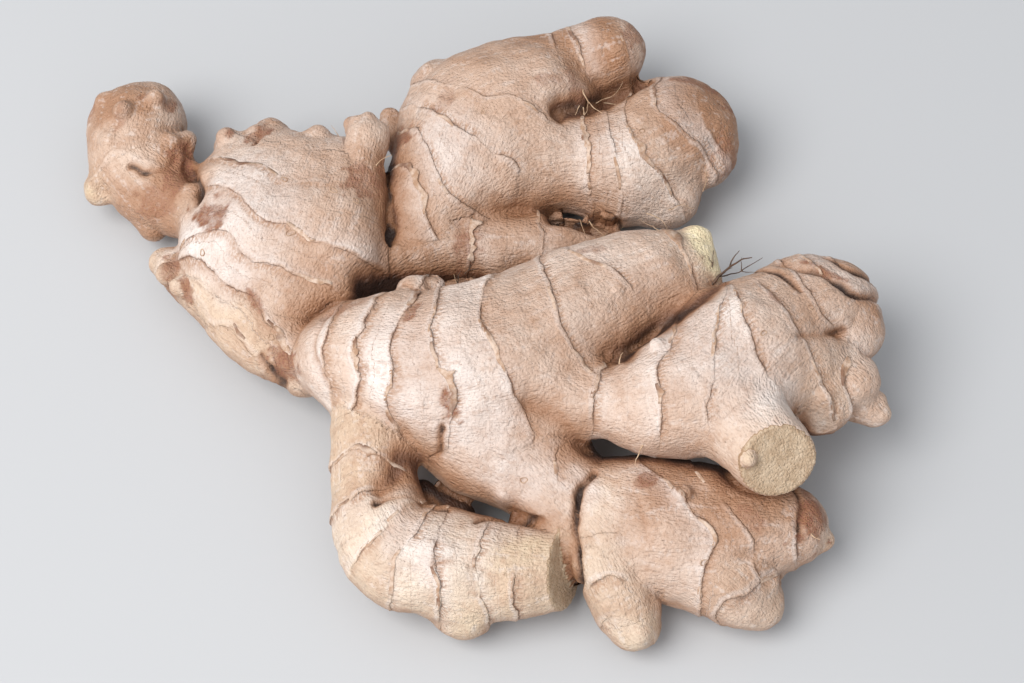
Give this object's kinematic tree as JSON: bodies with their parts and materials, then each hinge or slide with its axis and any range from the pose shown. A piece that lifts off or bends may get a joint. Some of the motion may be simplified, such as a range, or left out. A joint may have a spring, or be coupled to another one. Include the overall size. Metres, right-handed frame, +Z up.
{
  "type": "fresh ginger root",
  "caption": "Hand of fresh ginger: a knobbly branching rhizome with ringed fingers, short buds and knife-cut ends, lying flat.",
  "frame": {"origin": "on the table, under the middle of the root's bounding box", "axes": "+X along the root's longest side, from the small round nub to the double right lobe; +Y away from the curled finger, towards the upper arm; +Z up"},
  "size_m": [0.1816, 0.1518, 0.0405],
  "materials": {
    "ginger_skin": "thin dry papery skin, pale tan with brown rings and scars, and pale yellow fibrous cut ends"
  },
  "bodies": {
    "root": {"ginger_rhizome": "ginger_skin"}
  },
  "joints": []
}
